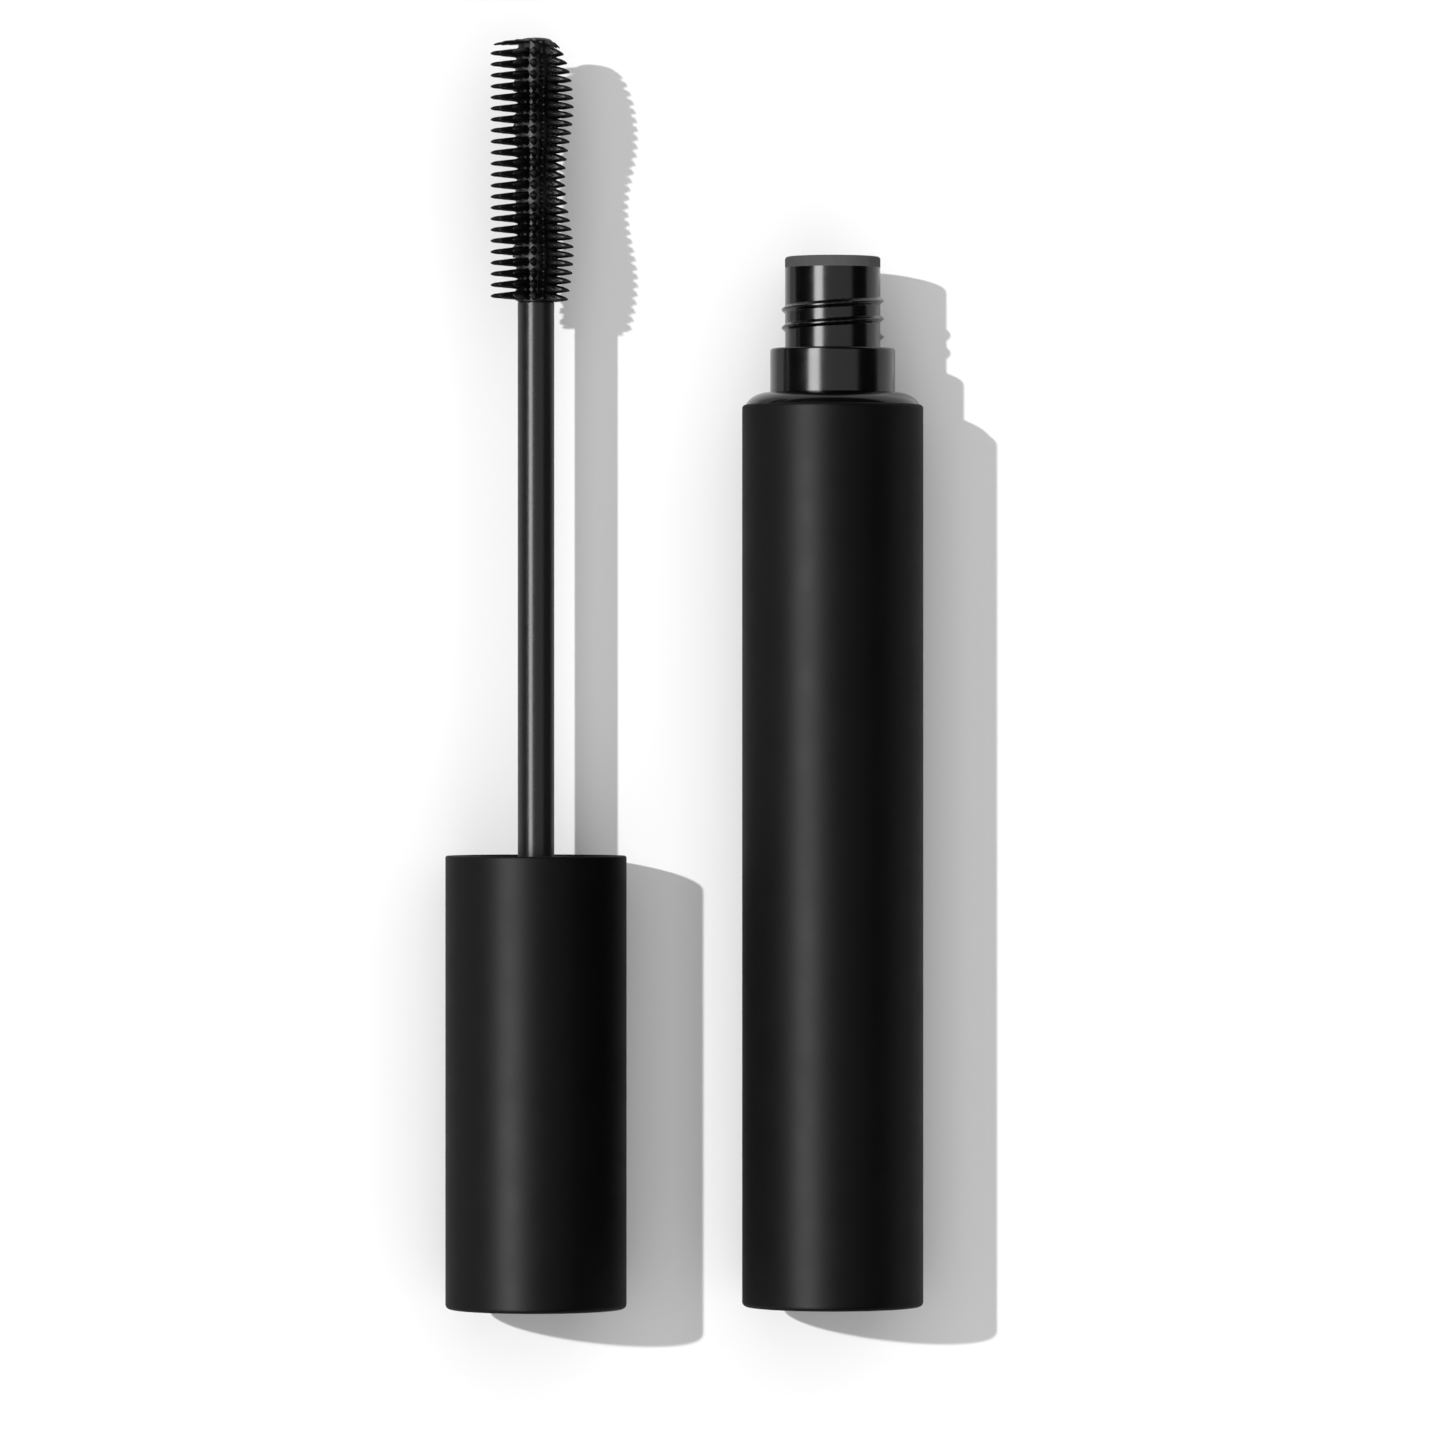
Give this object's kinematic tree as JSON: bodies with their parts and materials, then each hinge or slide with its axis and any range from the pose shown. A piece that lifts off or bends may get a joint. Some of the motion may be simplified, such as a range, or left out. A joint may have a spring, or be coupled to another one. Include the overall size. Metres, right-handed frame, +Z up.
{
  "type": "mascara tube",
  "caption": "Opened mascara tube lying on its side beside its screw cap with rod and moulded brush; the wand swings round, slides in and screws shut.",
  "frame": {"origin": "on the surface that the tube and the wand lie on, at the centre of their common footprint", "axes": "+Y from the closed ends to the tube's neck and the brush's tip, +X from the wand to the tube, +Z up"},
  "size_m": [0.05, 0.1332, 0.019],
  "materials": {
    "matte_case": "soft matte black",
    "gloss_moulding": "polished black moulding",
    "wiper_elastomer": "dark grey satin elastomer",
    "formula": "wet black cream",
    "gasket_rubber": "grey foam rubber",
    "gloss_rod": "polished black moulding",
    "brush_elastomer": "black satin elastomer",
    "core_plastic": "natural black moulding"
  },
  "bodies": {
    "tube": {"outer_sleeve": "matte_case", "inner_bottle": "gloss_moulding", "wiper": "wiper_elastomer", "mascara_formula": "formula"},
    "core_pin": {"brush_core_pin": "core_plastic"},
    "gasket": {"cap_gasket": "gasket_rubber"},
    "stem": {"rod": "gloss_rod"},
    "cap": {"cap_shell": "matte_case", "inner_cap": "gloss_moulding", "brush": "brush_elastomer"}
  },
  "joints": [
    {"name": "wand_swing", "type": "hinge", "parent": "tube", "child": "core_pin", "pos_m": [0, 0.05713, 0.0095], "axis": [0, 0, -1], "range_deg": [0, 180]},
    {"name": "wand_insert", "type": "slide", "parent": "core_pin", "child": "gasket", "axis": [0, 1, 0], "range_m": [0, 0.10135]},
    {"name": "cap_lead", "type": "slide", "parent": "gasket", "child": "stem", "axis": [0, 1, 0], "range_m": [0, 0.00285]},
    {"name": "cap_screw", "type": "hinge", "parent": "stem", "child": "cap", "pos_m": [-0.01555, -0.0666, 0.0095], "axis": [0, 1, 0], "range_deg": [0, 540]}
  ],
  "couplings": [
    {"joint": "cap_lead", "follows": "cap_screw", "m_per_rad": 0.00030239}
  ]
}
